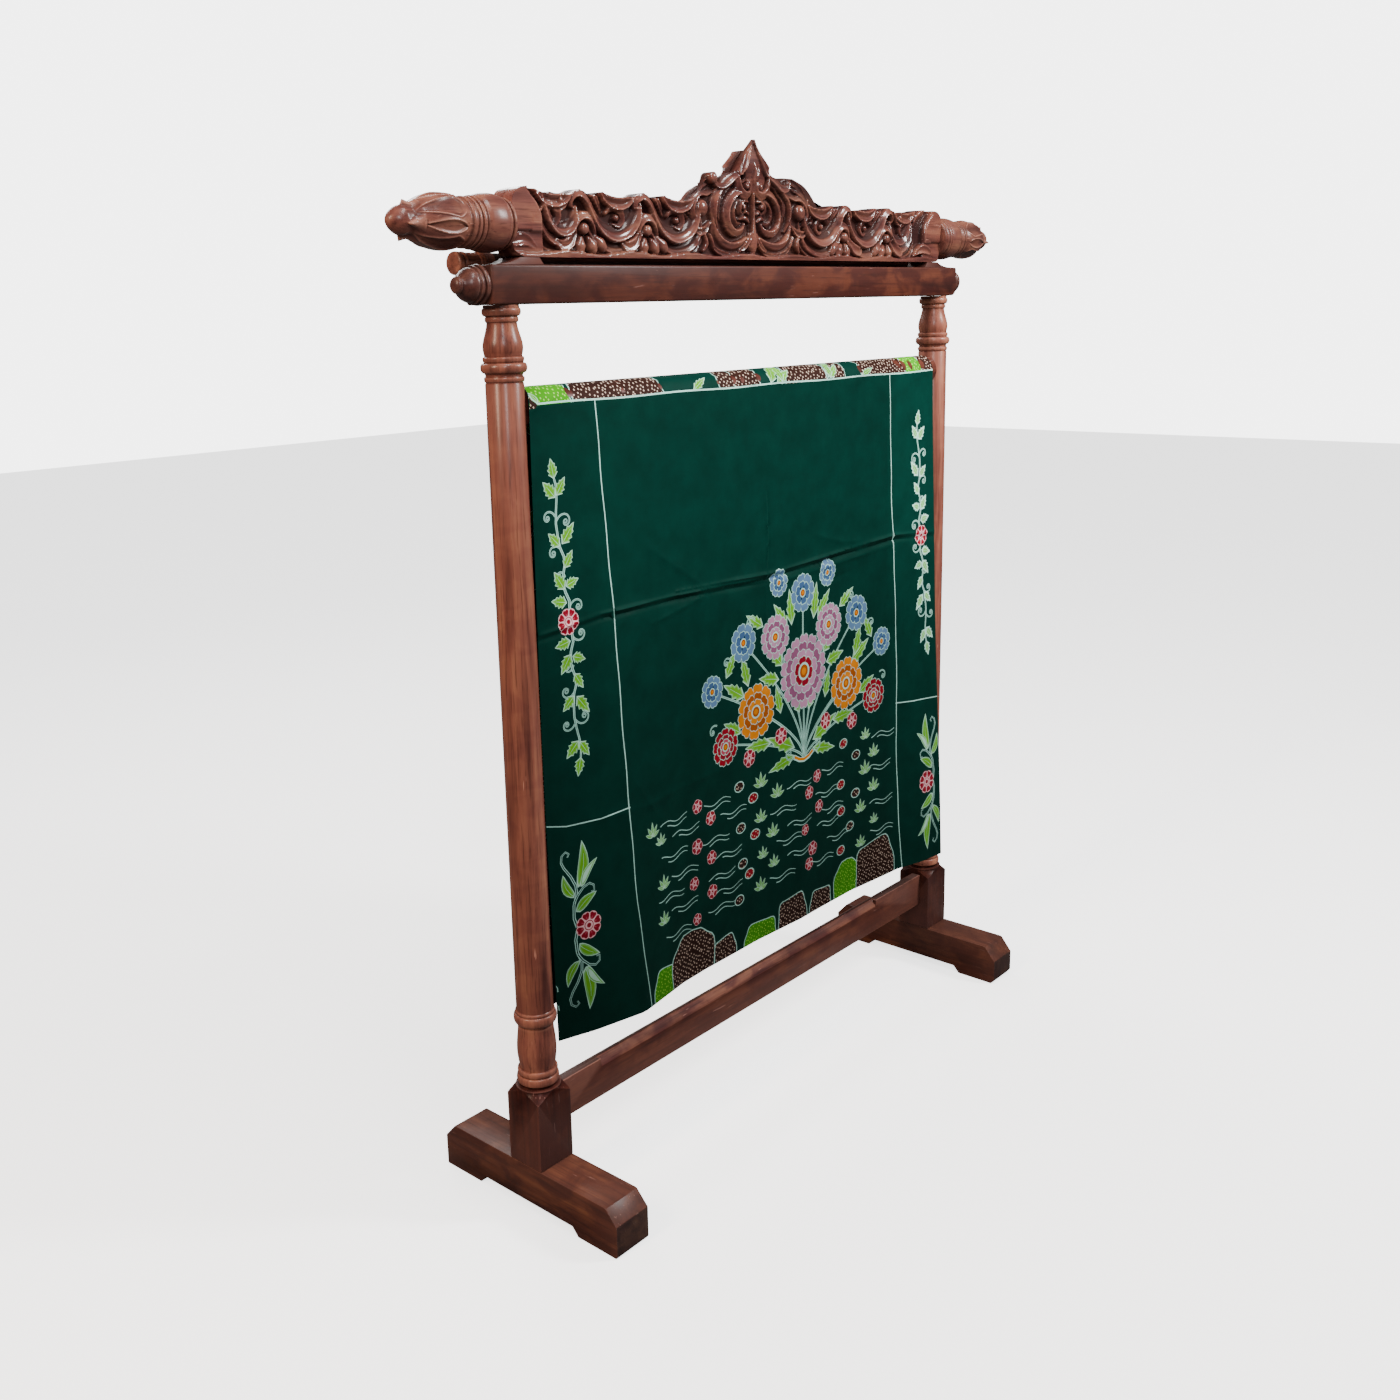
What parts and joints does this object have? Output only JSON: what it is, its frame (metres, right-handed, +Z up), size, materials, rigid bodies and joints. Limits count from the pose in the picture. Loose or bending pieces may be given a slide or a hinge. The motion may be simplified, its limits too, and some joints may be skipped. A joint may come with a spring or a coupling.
{
  "type": "batik cloth on carved wooden stand",
  "caption": "Dark green batik cloth draped over the round rail of a free-standing carved and turned wooden cloth stand with sled feet.",
  "frame": {"origin": "on the floor, midway between the four foot pads", "axes": "+X along the rail to the right as seen from the front, +Y to the back, +Z up"},
  "size_m": [1.4626, 0.376, 1.587],
  "materials": {
    "cloth": "satin cotton, wax-resist pattern",
    "wood_red": "gloss varnish",
    "wood_dark": "gloss varnish",
    "wood_orange": "gloss varnish, worn"
  },
  "bodies": {
    "root": {"batik_cloth": "cloth", "cloth_rail": "wood_red", "crest": "wood_red", "crest_foot_left": "wood_red", "crest_foot_right": "wood_red", "finial_left": "wood_red", "finial_right": "wood_red", "foot_left": "wood_orange", "foot_right": "wood_orange", "knob_left": "wood_dark", "knob_right": "wood_dark", "post_left": "wood_red", "post_right": "wood_red", "rear_rail": "wood_orange", "stretcher": "wood_red", "top_beam": "wood_dark"}
  },
  "joints": []
}
